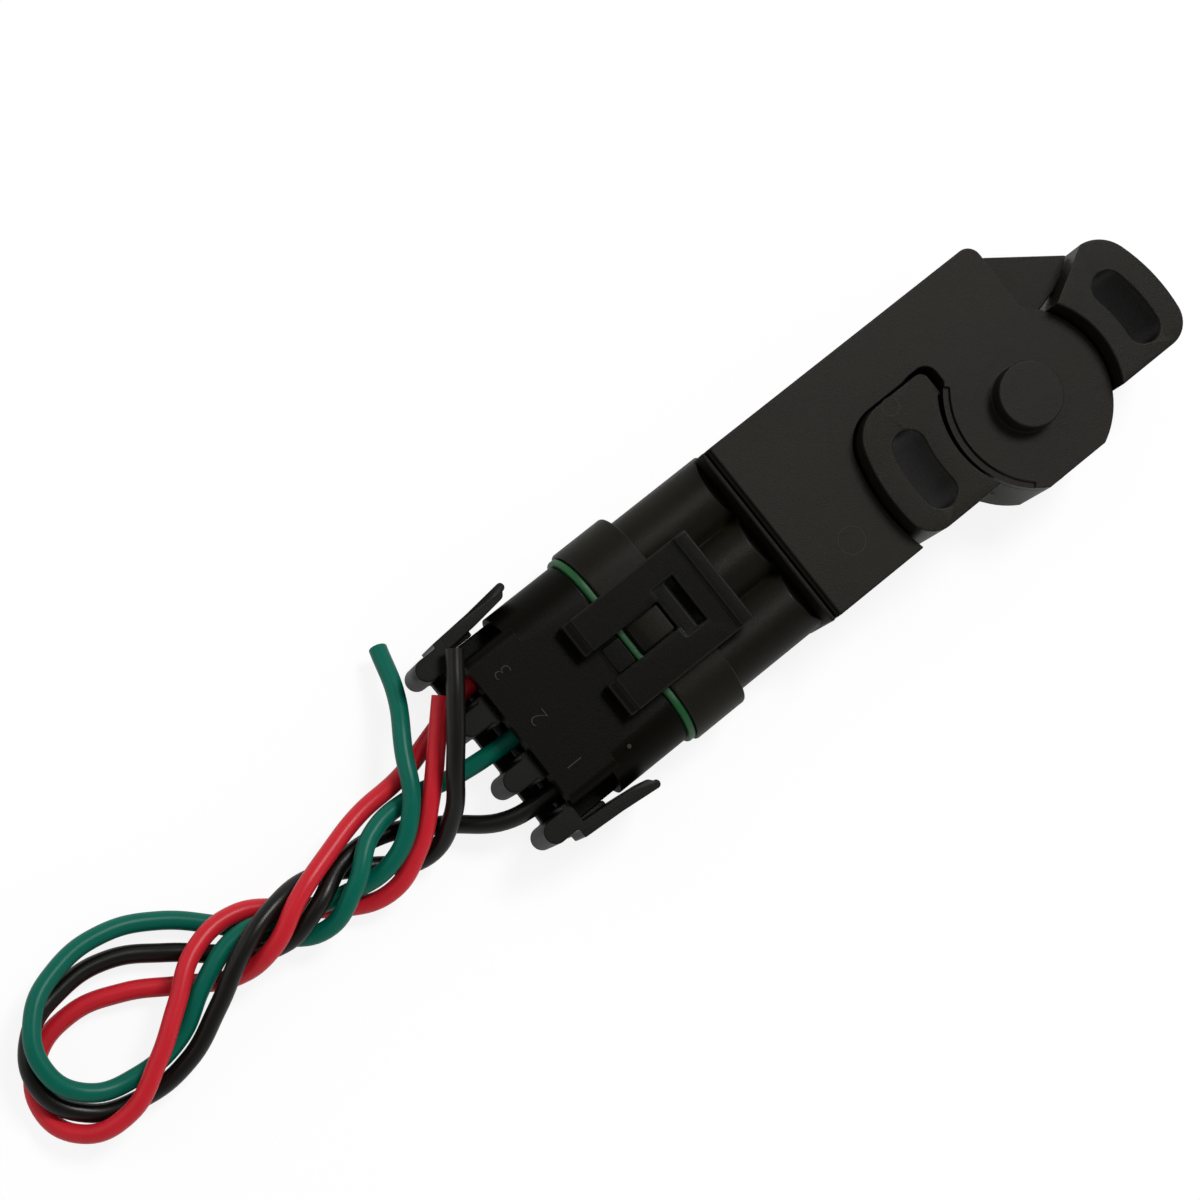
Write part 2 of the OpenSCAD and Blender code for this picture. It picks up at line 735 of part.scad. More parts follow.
// Green seal: a sleeve with two ribs in the shroud and a flange that shows at its mouth
module plug_seal() color([0.1, 0.7, 0.35]) {
    difference() {
        union() {
            along_x(x_rim - fit_gap, x_seat + fit_gap) stadium(shroud_r - flange_inset);
            along_x(x_rim + sleeve_l, x_seat + fit_gap) stadium(shroud_in - rib_h);
            for (x = rib_places) along_x(x_rim + x, x_rim + x + rib_w) stadium(shroud_in - fit_gap);
        }
        along_x(x_rim + sleeve_l + cut, x_seat - cut) stadium(nose_r + fit_gap);
    }
}

module cable_seals(i) color([0.12, 0.62, 0.32]) {
    translate([x_seal, pin_y(i), conn_z]) rotate([0, 90, 0]) difference() {
        union() {
            cylinder(r = cavity_r - rib_h, h = seal_len);
            for (k = [0:2])
                translate([0, 0, 0.3 + cable_rib_step * k]) cylinder(r = cavity_r - fit_gap, h = cable_rib_w);
        }
        translate([0, 0, -cut]) cylinder(r = wire_d / 2 + fit_gap, h = seal_len + 2 * cut);
    }
}

// Crimped socket contact that takes the blade and grips the lead
module socket_terminals(i) color([0.78, 0.75, 0.65]) {
    y = pin_y(i);
    x_front = x_nose - 0.8;
    x_box = x_front - terminal_box_l;
    difference() {
        union() {
            translate([x_box, y - terminal_w / 2, conn_z - terminal_h / 2])
                cube([terminal_box_l, terminal_w, terminal_h]);
            translate([x_crimp, y, conn_z]) rotate([0, 90, 0]) cylinder(r = crimp_r, h = crimp_l);
            translate([x_crimp + crimp_l / 2, y - tang_w / 2, conn_z - terminal_h / 2])
                cube([x_box - x_crimp - crimp_l / 2 + 1, tang_w, terminal_h]);
        }
        translate([x_pin_tip - 0.4, y - pin_w / 2 - fit_gap, conn_z - pin_t / 2 - fit_gap])
            cube([2 * terminal_box_l, pin_w + 2 * fit_gap, pin_t + 2 * fit_gap]);
        translate([x_crimp - cut, y, conn_z]) rotate([0, 90, 0]) cylinder(r = strands_r, h = strands_l + cut);
    }
}

// Comb-shaped lock: four fingers between the leads, a foot bar and two side arms
module wire_lock() color([0.16, 0.16, 0.16]) {
    for (y = finger_y) translate([x_lock, conn_y + y, lock_low]) {
        translate([-lock_pad_t, -finger_pad_w / 2, 0]) cube([lock_pad_t, finger_pad_w, lock_high - lock_low]);
        translate([-lock_depth + finger_w / 2, -finger_w / 2, 0])
            cube([lock_depth - finger_w / 2 - lock_pad_t + 0.1, finger_w, lock_high - lock_low]);
        translate([-lock_depth + finger_w / 2, 0, 0]) cylinder(r = finger_w / 2, h = lock_high - lock_low);
    }
    // Foot bar under the leads
    translate([x_lock - lock_pad_t - 1.6, conn_y + finger_y[0], lock_low])
        cube([lock_pad_t + 1.6, finger_y[3] - finger_y[0], 1.9]);
    for (s = signs()) lock_arm(s);
}

// Side arm that snaps along the plug body and flares to its tip, with a low web at its root
module lock_arm(s) {
    mid = x_lock + 0.45 * (lock_arm_tip - x_lock);
    root_in = lock_arm_y - lock_arm_t;
    tip_out = lock_arm_y + lock_arm_flare;
    translate([0, conn_y, conn_z - 3.2]) {
        linear_extrude(7.4) {
            polygon([
                [x_lock - lock_pad_t, s * lock_arm_y], [x_lock - lock_pad_t, s * 11.4], [x_lock, s * 11.4],
                [x_lock, s * root_in], [mid, s * (root_in + 0.4)],
                [lock_arm_tip - 1.2, s * (tip_out - lock_arm_t)], [lock_arm_tip - 0.5, s * (tip_out - 1.1)],
                [lock_arm_tip - 0.6, s * tip_out], [mid, s * (lock_arm_y + 0.4)]
            ]);
            translate([lock_arm_tip - 0.6, s * (tip_out - 0.6)]) circle(r = 0.6);
        }
        linear_extrude(lock_web_h)
            polygon([
                [x_lock, s * (flank_w / 2 + fit_gap)], [lock_web_end, s * (flank_w / 2 + fit_gap)],
                [lock_web_end, s * (root_in + 0.6)], [x_lock, s * (root_in + 0.2)]
            ]);
    }
}

module wire_red() color([0.75, 0.08, 0.15]) tube(red_route, wire_d / 2, 8);

module wire_green() color([0, 0.5, 0.4]) tube(green_route, wire_d / 2, 8);

module wire_black() color([0.1, 0.1, 0.1]) tube(black_route, wire_d / 2, 8);

housing();
cover_plate();
rotor();
wiper();
element_board();
return_spring();
shaft_seal();
mount_seal();
terminal_pins(1);  // terminal_pin_1
terminal_pins(2);  // terminal_pin_2
terminal_pins(3);  // terminal_pin_3
plug_housing();
plug_seal();
wire_lock();
cable_seals(1);  // cable_seal_1
cable_seals(2);  // cable_seal_2
cable_seals(3);  // cable_seal_3
socket_terminals(1);  // socket_terminal_1
socket_terminals(2);  // socket_terminal_2
socket_terminals(3);  // socket_terminal_3
wire_red();
wire_green();
wire_black();
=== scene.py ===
"""Looks of the throttle position sensor with its sealed plug and leads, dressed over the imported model."""

from __future__ import annotations

import json
import logging
import math
from collections.abc import Iterator
from dataclasses import dataclass
from enum import Enum
from functools import cache

import bmesh
import bpy
from mathutils import Matrix, Vector
from mathutils.bvhtree import BVHTree
from mathutils.kdtree import KDTree

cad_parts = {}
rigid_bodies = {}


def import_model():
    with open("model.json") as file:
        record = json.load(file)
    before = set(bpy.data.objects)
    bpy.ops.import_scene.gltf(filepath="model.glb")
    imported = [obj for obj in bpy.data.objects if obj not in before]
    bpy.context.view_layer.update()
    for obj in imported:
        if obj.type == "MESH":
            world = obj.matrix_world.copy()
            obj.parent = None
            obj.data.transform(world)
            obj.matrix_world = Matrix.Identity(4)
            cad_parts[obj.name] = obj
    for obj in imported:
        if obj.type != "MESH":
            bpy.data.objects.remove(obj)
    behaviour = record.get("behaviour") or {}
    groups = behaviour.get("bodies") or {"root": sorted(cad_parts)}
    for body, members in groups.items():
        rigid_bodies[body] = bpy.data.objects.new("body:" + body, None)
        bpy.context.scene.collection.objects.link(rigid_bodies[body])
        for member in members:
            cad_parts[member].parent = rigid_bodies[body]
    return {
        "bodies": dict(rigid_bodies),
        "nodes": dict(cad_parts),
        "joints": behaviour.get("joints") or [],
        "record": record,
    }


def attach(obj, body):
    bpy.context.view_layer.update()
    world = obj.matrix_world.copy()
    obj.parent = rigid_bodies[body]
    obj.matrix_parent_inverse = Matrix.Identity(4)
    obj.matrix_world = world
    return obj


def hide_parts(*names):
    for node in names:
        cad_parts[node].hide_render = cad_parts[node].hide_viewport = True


LOG = logging.getLogger("sensor")
MM = 0.001
Route = list[tuple[float, float, float]]
Outline = list[tuple[float, float]]
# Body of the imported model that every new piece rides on
SENSOR_BODY = "sensor_body"
WEIGHT_LAYER = "bevel_weight_edge"
# Points closer than this, in metres, are one
WELD_WITHIN = 1e-6
# Faces turned by less than this, in degrees, are one flat face
FLAT_WITHIN = 0.4
# Edges turned by more than this, in degrees, are rounded
SHARP_OVER = 32
# Segments across a rounded edge
ROUND_STEPS = 2
# Edges turned by less than this, in degrees, are shaded smooth
SMOOTH_UNDER = 48
# Pull of large faces on the shading of their rounded edges, the most there is
FACE_PULL = 100
# Share of a neighbouring edge that a rounding may take
ROOM_SHARE = 0.4
# Sine of the turn below which an edge counts as carried on by its neighbour
STRAIGHT_ON = 0.34
# Roundings under this size, in millimetres, are left out
LEAST_ROUND = 0.03
# Most rounds in which the edges of a chain pass on their least weight
CHAIN_PASSES = 200
# Cosine below which two edges that meet form one chain
CHAIN_TURN = -0.8
# Weights that differ by less than this count as equal
SAME_WEIGHT = 1e-4
# Most rounds in which tight corners lose their rounding
GUARD_PASSES = 8
# Share of the rounding that a point may lie away from the unrounded surface
STAND_OUT = 0.55
# Cosine to the surface's normal above which a point that lies away from it isn't inside the solid
NOT_INSIDE = -0.2
# Triangles under this size, in square metres, are too small to show
LEAST_FOLD = 2e-9
# Cosine to its face's normal under which a triangle is folded
FOLDED = 0.3


class BlockUse(Enum):
    """What a block does to its piece, in the boolean modifier's words."""

    JOIN = "UNION"
    CUT = "DIFFERENCE"


def clear_selection() -> None:
    """Leaves edit mode and deselects every object."""
    if bpy.context.object and bpy.context.object.mode != "OBJECT":
        bpy.ops.object.mode_set(mode="OBJECT")
    bpy.ops.object.select_all(action="DESELECT")


def select_only(obj: bpy.types.Object) -> None:
    """Makes one object the only selected and active one.

    Args:
        obj: The object that the next operators act on.
    """
    clear_selection()
    obj.select_set(True)
    bpy.context.view_layer.objects.active = obj


def settle_in_mesh(obj: bpy.types.Object) -> None:
    """Moves an object's place, turn and size into its mesh.

    Args:
        obj: A mesh object.
    """
    select_only(obj)
    bpy.ops.object.transform_apply(location=True, rotation=True, scale=True)


def apply_modifiers(obj: bpy.types.Object) -> None:
    """Applies all modifiers of an object in their order.

    Args:
        obj: A mesh object.
    """
    select_only(obj)
    for modifier in list(obj.modifiers):
        bpy.ops.object.modifier_apply(modifier=modifier.name)


def smooth_by_angle(obj: bpy.types.Object) -> None:
    """Shades an object smooth, but for its sharp edges.

    Args:
        obj: A mesh object.
    """
    select_only(obj)
    bpy.ops.object.shade_smooth_by_angle(angle=math.radians(SMOOTH_UNDER))


def dress(obj: bpy.types.Object, material: bpy.types.Material) -> None:
    """Gives an object one material.

    Args:
        obj: A mesh or curve object.
        material: Its finish.
    """
    obj.data.materials.clear()
    obj.data.materials.append(material)


def arc(
    centre: tuple[float, float], radii: tuple[float, float], angles: tuple[float, float], steps: int = 12
) -> Outline:
    """Returns points along an arc whose radius changes evenly.

    Args:
        centre: The arc's centre, in millimetres.
        radii: Radius at its start and at its end.
        angles: Angle at its start and at its end, in degrees.
        steps: Number of pieces.

    Returns:
        Its points in order, in millimetres.
    """
    points = []
    for k in range(steps + 1):
        r = radii[0] + (radii[1] - radii[0]) * k / steps
        a = math.radians(angles[0] + (angles[1] - angles[0]) * k / steps)
        points.append((centre[0] + r * math.cos(a), centre[1] + r * math.sin(a)))
    return points


def box(x0: float, x1: float, y0: float, y1: float) -> Outline:
    """Returns the corners of a rectangle, with all sizes in millimetres."""
    return [(x0, y0), (x1, y0), (x1, y1), (x0, y1)]


@dataclass(frozen=True)
class Prism:
    """Upright block that is joined to a piece or cut out of it, in millimetres."""

    outline: Outline
    low: float
    high: float
    use: BlockUse = BlockUse.JOIN

    def apply_to(self, obj: bpy.types.Object) -> None:
        """Joins the block to a piece, or cuts it out.

        Args:
            obj: The piece, a closed mesh.
        """
        mesh = bmesh.new()
        rings = [
            [mesh.verts.new((x * MM, y * MM, z * MM)) for x, y in self.outline]
            for z in (self.low, self.high)
        ]
        mesh.faces.new(rings[0])
        mesh.faces.new(rings[1])
        for k in range(len(self.outline)):
            after = (k + 1) % len(self.outline)
            mesh.faces.new((rings[0][k], rings[0][after], rings[1][after], rings[1][k]))
        bmesh.ops.recalc_face_normals(mesh, faces=mesh.faces)
        data = bpy.data.meshes.new("block")
        mesh.to_mesh(data)
        mesh.free()
        block = bpy.data.objects.new("block", data)
        bpy.context.scene.collection.objects.link(block)
        change = obj.modifiers.new("block", "BOOLEAN")
        change.operation = self.use.value
        change.solver = "EXACT"
        change.object = block
        apply_modifiers(obj)
        bpy.data.objects.remove(block)
        bpy.data.meshes.remove(data)


def weld(obj: bpy.types.Object) -> None:
    """Merges the doubled points of a mesh.

    Args:
        obj: A mesh object.
    """
    select_only(obj)
    bpy.ops.object.mode_set(mode="EDIT")
    bpy.ops.mesh.select_all(action="SELECT")
    bpy.ops.mesh.remove_doubles(threshold=WELD_WITHIN)
    bpy.ops.object.mode_set(mode="OBJECT")


def merge_flat_faces(obj: bpy.types.Object) -> None:
    """Joins the triangles of each flat face.

    Args:
        obj: A mesh object.
    """
    weld(obj)
    select_only(obj)
    bpy.ops.object.mode_set(mode="EDIT")
    bpy.ops.mesh.select_all(action="SELECT")
    bpy.ops.mesh.dissolve_limited(angle_limit=math.radians(FLAT_WITHIN))
    bpy.ops.object.mode_set(mode="OBJECT")


def room_beside(edge: bmesh.types.BMEdge, turned: set[bmesh.types.BMEdge], radius: float) -> float:
    """Returns the largest rounding that an edge's neighbours leave room for.

    Args:
        edge: A sharp edge.
        turned: All sharp edges of the mesh.
        radius: The full rounding, in metres.

    Returns:
        The rounding's size, in metres.
    """
    room = radius
    for vert in edge.verts:
        along = (edge.other_vert(vert).co - vert.co).normalized()
        for other in vert.link_edges:
            if other is edge or not set(other.link_faces) & set(edge.link_faces):
                continue
            across = other.other_vert(vert).co - vert.co
            turn = across.normalized().cross(along).length
            folded = across.dot(along) > 0
            if turn > STRAIGHT_ON or folded:
                room = min(room, across.length * turn * ROOM_SHARE)
                if other in turned:
                    room = min(room, edge.calc_length() * ROOM_SHARE * (turn if folded else 1))
    return room


def even_out_chains(mesh: bmesh.types.BMesh, layer: bmesh.types.BMLayerItem) -> None:
    """Gives all edges of a smooth chain the least weight among them.

    Args:
        mesh: A mesh with weighted edges.
        layer: The layer that holds the weights.
    """
    for _ in range(CHAIN_PASSES):
        changed = False
        for vert in mesh.verts:
            ends = [
                (edge, (edge.other_vert(vert).co - vert.co).normalized())
                for edge in vert.link_edges if edge[layer]
            ]
            for number, (edge, along) in enumerate(ends):
                for other, onward in ends[number + 1:]:
                    if along.dot(onward) < CHAIN_TURN and abs(edge[layer] - other[layer]) > SAME_WEIGHT:
                        edge[layer] = other[layer] = min(edge[layer], other[layer])
                        changed = True
        if not changed:
            break


def weigh_edges(obj: bpy.types.Object, radius: float, split: bool) -> None:
    """Gives every sharp edge the share of the rounding that its neighbours leave room for.

    Args:
        obj: A mesh object with flat faces.
        radius: The full rounding, in metres.
        split: Whether hollow-sided faces are split into plain ones.
    """
    mesh = bmesh.new()
    mesh.from_mesh(obj.data)
    layer = mesh.edges.layers.float.get(WEIGHT_LAYER) or mesh.edges.layers.float.new(WEIGHT_LAYER)
    turned = {
        edge for edge in mesh.edges
        if len(edge.link_faces) == 2 and edge.calc_face_angle(0.0) > math.radians(SHARP_OVER)
    }
    for edge in turned:
        room = room_beside(edge, turned, radius)
        edge[layer] = room / radius if room > LEAST_ROUND * MM else 0.0
    even_out_chains(mesh, layer)
    if split:
        bmesh.ops.connect_verts_concave(mesh, faces=mesh.faces)
    mesh.to_mesh(obj.data)
    mesh.free()


def tight_places(rounded: bpy.types.Mesh, surface: BVHTree, radius: float) -> Iterator[Vector]:
    """Finds where a rounded mesh leaves the solid or folds over.

    Args:
        rounded: The mesh with its rounded edges.
        surface: The mesh before its edges were rounded.
        radius: The full rounding, in metres.

    Yields:
        Each such place.
    """
    for point in rounded.vertices:
        place, normal, _, _ = surface.find_nearest(point.co)
        off = point.co - place
        if off.length > radius * STAND_OUT and off.dot(normal) > NOT_INSIDE * off.length:
            yield point.co
    rounded.calc_loop_triangles()
    for piece in rounded.loop_triangles:
        a, b, c = (rounded.vertices[index].co for index in piece.vertices)
        face = rounded.polygons[piece.polygon_index]
        if piece.area > LEAST_FOLD and (b - a).cross(c - a).normalized().dot(face.normal) < FOLDED:
            yield (a + b + c) / 3


def spare_tight_corners(obj: bpy.types.Object, radius: float) -> None:
    """Takes the rounding off the corners where it would leave the solid.

    Args:
        obj: A mesh object with weighted edges and a bevel modifier.
        radius: The full rounding, in metres.
    """
    mesh = bmesh.new()
    mesh.from_mesh(obj.data)
    mesh.verts.ensure_lookup_table()
    surface = BVHTree.FromBMesh(mesh)
    layer = mesh.edges.layers.float[WEIGHT_LAYER]
    corners = KDTree(len(mesh.verts))
    for vert in mesh.verts:
        if any(edge[layer] for edge in vert.link_edges):
            corners.insert(vert.co, vert.index)
    corners.balance()
    for _ in range(GUARD_PASSES):
        view = obj.evaluated_get(bpy.context.evaluated_depsgraph_get())
        tight = {corners.find(place)[1] for place in tight_places(view.to_mesh(), surface, radius)}
        view.to_mesh_clear()
        if not tight:
            break
        for index in tight:
            for edge in mesh.verts[index].link_edges:
                edge[layer] = 0.0
        mesh.to_mesh(obj.data)
        obj.data.update()
    mesh.free()


def round_edges(obj: bpy.types.Object, radius: float, split: bool) -> None:
    """Adds the rounding of every sharp edge as a bevel modifier, with finish number 1 on it.

    Args:
        obj: A mesh object with flat faces.
        radius: The full rounding, in metres.
        split: Whether hollow-sided faces are split into plain ones.
    """
    weigh_edges(obj, radius, split)
    bevel = obj.modifiers.new("rounding", "BEVEL")
    bevel.width = radius
    bevel.segments = ROUND_STEPS
    bevel.limit_method = "WEIGHT"
    bevel.use_clamp_overlap = False
    bevel.miter_outer = "MITER_ARC"
    bevel.harden_normals = False
    # Finish number 1 is the edge finish, a painted highlight where it is lighter than the faces
    bevel.material = 1
    spare_tight_corners(obj, radius)


def moulded_copy(
    node: str,
    name: str,
    radius: float,
    faces: bpy.types.Material,
    edges: bpy.types.Material,
    blocks: tuple[Prism, ...] = (),
    split: bool = False,
) -> bpy.types.Object:
    """edges: Finish of the rounded edges, which on the housing, the plug and the comb lock is lighter than
    the faces: a painted highlight.
    """
    obj = bpy.data.objects.new(name, packed_model()["nodes"][node].data.copy())
    bpy.context.scene.collection.objects.link(obj)
    weld(obj)
    for block in blocks:
        block.apply_to(obj)
    merge_flat_faces(obj)
    round_edges(obj, radius * MM, split)
    dress(obj, faces)
    obj.data.materials.append(edges)
    apply_modifiers(obj)
    smooth_by_angle(obj)
    weighted = obj.modifiers.new("flat_faces", "WEIGHTED_NORMAL")
    weighted.keep_sharp = True
    weighted.mode = "FACE_AREA"
    weighted.weight = FACE_PULL
    apply_modifiers(obj)
    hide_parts(node)
    return obj


@cache
def packed_model() -> dict:
    """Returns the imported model's bodies, nodes and record, loaded once."""
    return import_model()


def add_math(
    tree: bpy.types.NodeTree, operation: str, number: int = 0, value: float | None = None
) -> bpy.types.Node:
    """Adds a math node to a tree.

    Args:
        tree: The node tree.
        operation: What the node works out.
        number: Which of its inputs is fixed.
        value: That input's value, if one is fixed.

    Returns:
        The new node.
    """
    made = tree.nodes.new("ShaderNodeMath")
    made.operation = operation
    if value is not None:
        made.inputs[number].default_value = value
    return made


def add_material(name: str) -> tuple[bpy.types.Material, bpy.types.Node]:
    """Adds a material with nodes.

    Args:
        name: The material's name.

    Returns:
        The material and its main shader.
    """
    mat = bpy.data.materials.new(name)
    mat.use_nodes = True
    return mat, mat.node_tree.nodes["Principled BSDF"]


class NodeGroups:
    """Shader effects that several finishes share, each built once."""

    def __init__(self) -> None:
        """Builds the groups."""
        self.grain = self._moulded_grain()
        self.skin = self._extruded_skin()

    @staticmethod
    def _socket(
        group: bpy.types.NodeTree, name: str, kind: str, value: float | None = None, out: bool = False
    ) -> None:
        """Adds one socket to a group.

        Args:
            group: The node group.
            name: The socket's name.
            kind: Its kind, Float or Color.
            value: Its default, if it is a number.
            out: True for an output.
        """
        made = group.interface.new_socket(
            name=name, in_out="OUTPUT" if out else "INPUT", socket_type=f"NodeSocket{kind}"
        )
        if value is not None:
            made.default_value = value

    @staticmethod
    def _noise(group: bpy.types.NodeTree, scale: bpy.types.NodeSocket, detail: float) -> bpy.types.Node:
        """Adds a noise that is fixed to the piece.

        Args:
            group: The node group.
            scale: The group's input that sets how fine it is.
            detail: How many finer layers it has.

        Returns:
            The noise node.
        """
        coord, noise = group.nodes.new("ShaderNodeTexCoord"), group.nodes.new("ShaderNodeTexNoise")
        noise.inputs["Detail"].default_value = detail
        group.links.new(coord.outputs["Object"], noise.inputs["Vector"])
        group.links.new(scale, noise.inputs["Scale"])
        return noise

    @staticmethod
    def _tint(
        group: bpy.types.NodeTree, change: bpy.types.NodeSocket, ins: bpy.types.Node, outs: bpy.types.Node
    ) -> None:
        """Lightens and darkens the group's colour by a noise.

        Args:
            group: The node group.
            change: The noise, centred on zero.
            ins: The group's input node.
            outs: The group's output node.
        """
        link = group.links.new
        tone = add_math(group, "MULTIPLY_ADD", 2, 1.0)
        link(change, tone.inputs[0])
        link(ins.outputs["Tone change"], tone.inputs[1])
        paint = group.nodes.new("ShaderNodeVectorMath")
        paint.operation = "SCALE"
        link(ins.outputs["Colour"], paint.inputs[0])
        link(tone.outputs[0], paint.inputs["Scale"])
        link(paint.outputs[0], outs.inputs["Colour"])

    def _moulded_grain(self) -> bpy.types.NodeTree:
        """Builds the fine spark grain and faint flow variation of moulded plastic.

        Returns:
            A group with Colour, Roughness and Height outputs.
        """
        g = bpy.data.node_groups.new("moulded_grain", "ShaderNodeTree")
        for name, value in (("Grain size", 6000.0), ("Flow size", 90.0), ("Tone change", 0.15),
                            ("Roughness", 0.5), ("Roughness change", 0.08)):
            self._socket(g, name, "Float", value)
        self._socket(g, "Colour", "Color")
        self._socket(g, "Colour", "Color", out=True)
        self._socket(g, "Roughness", "Float", out=True)
        self._socket(g, "Height", "Float", out=True)
        link = g.links.new
        ins, outs = g.nodes.new("NodeGroupInput"), g.nodes.new("NodeGroupOutput")
        fine = self._noise(g, ins.outputs["Grain size"], detail=3)
        fine.inputs["Roughness"].default_value = 0.6
        flow = self._noise(g, ins.outputs["Flow size"], detail=4)
        both = add_math(g, "ADD")
        link(fine.outputs["Fac"], both.inputs[0])
        link(flow.outputs["Fac"], both.inputs[1])
        centred = add_math(g, "SUBTRACT", 1, 1.0)
        link(both.outputs[0], centred.inputs[0])
        self._tint(g, centred.outputs[0], ins, outs)
        rough = add_math(g, "MULTIPLY_ADD")
        link(centred.outputs[0], rough.inputs[0])
        link(ins.outputs["Roughness change"], rough.inputs[1])
        link(ins.outputs["Roughness"], rough.inputs[2])
        link(rough.outputs[0], outs.inputs["Roughness"])
        link(fine.outputs["Fac"], outs.inputs["Height"])
        return g

    def _extruded_skin(self) -> bpy.types.NodeTree:
        """Builds the soft, slightly uneven skin of extruded insulation and rubber.

        Returns:
            A group with Colour and Height outputs.
        """
        g = bpy.data.node_groups.new("extruded_skin", "ShaderNodeTree")
        self._socket(g, "Size", "Float", 400.0)
        self._socket(g, "Tone change", "Float", 0.2)
        self._socket(g, "Colour", "Color")
        self._socket(g, "Colour", "Color", out=True)
        self._socket(g, "Height", "Float", out=True)
        link = g.links.new
        ins, outs = g.nodes.new("NodeGroupInput"), g.nodes.new("NodeGroupOutput")
        noise = self._noise(g, ins.outputs["Size"], detail=3)
        centred = add_math(g, "SUBTRACT", 1, 0.5)
        link(noise.outputs["Fac"], centred.inputs[0])
        self._tint(g, centred.outputs[0], ins, outs)
        link(noise.outputs["Fac"], outs.inputs["Height"])
        return g


@dataclass(frozen=True)
class MouldedPlastic:
    """Finish of a moulded plastic piece with a fine spark grain."""

    name: str
    colour: tuple[float, float, float]
    roughness: float = 0.5
    roughness_change: float = 0.1
    tone_change: float = 0.6
    grain_size: float = 5200.0
    grain_depth: float = 0.03
    specular: float = 0.1

    def build(self, groups: NodeGroups) -> bpy.types.Material:
        """Builds the material.

        Args:
            groups: The shared shader effects.

        Returns:
            The new material.
        """
        mat, shader = add_material(self.name)
        n, link = mat.node_tree.nodes, mat.node_tree.links.new
        shader.inputs["Specular IOR Level"].default_value = self.specular
        grain = n.new("ShaderNodeGroup")
        grain.node_tree = groups.grain
        grain.inputs["Colour"].default_value = (*self.colour, 1)
        grain.inputs["Grain size"].default_value = self.grain_size
        grain.inputs["Tone change"].default_value = self.tone_change
        grain.inputs["Roughness"].default_value = self.roughness
        grain.inputs["Roughness change"].default_value = self.roughness_change
        bump = n.new("ShaderNodeBump")
        bump.inputs["Distance"].default_value = self.grain_depth * MM
        link(grain.outputs["Height"], bump.inputs["Height"])
        link(grain.outputs["Colour"], shader.inputs["Base Color"])
        link(grain.outputs["Roughness"], shader.inputs["Roughness"])
        link(bump.outputs["Normal"], shader.inputs["Normal"])
        return mat


@dataclass(frozen=True)
class SmoothSkin:
    """Finish of extruded insulation, moulded rubber or plated metal, with a soft unevenness."""

    name: str
    colour: tuple[float, float, float]
    roughness: float = 0.3
    metallic: float = 0.0
    specular: float = 0.5
    tone_change: float = 0.2
    unevenness: float = 0.01
    size: float = 400.0

    def build(self, groups: NodeGroups) -> bpy.types.Material:
        """Builds the material.

        Args:
            groups: The shared shader effects.

        Returns:
            The new material.
        """
        mat, shader = add_material(self.name)
        n, link = mat.node_tree.nodes, mat.node_tree.links.new
        shader.inputs["Roughness"].default_value = self.roughness
        shader.inputs["Metallic"].default_value = self.metallic
        shader.inputs["Specular IOR Level"].default_value = self.specular
        skin = n.new("ShaderNodeGroup")
        skin.node_tree = groups.skin
        skin.inputs["Colour"].default_value = (*self.colour, 1)
        skin.inputs["Size"].default_value = self.size
        skin.inputs["Tone change"].default_value = self.tone_change
        bump = n.new("ShaderNodeBump")
        bump.inputs["Distance"].default_value = self.unevenness * MM
        link(skin.outputs["Height"], bump.inputs["Height"])
        link(skin.outputs["Colour"], shader.inputs["Base Color"])
        link(bump.outputs["Normal"], shader.inputs["Normal"])
        return mat


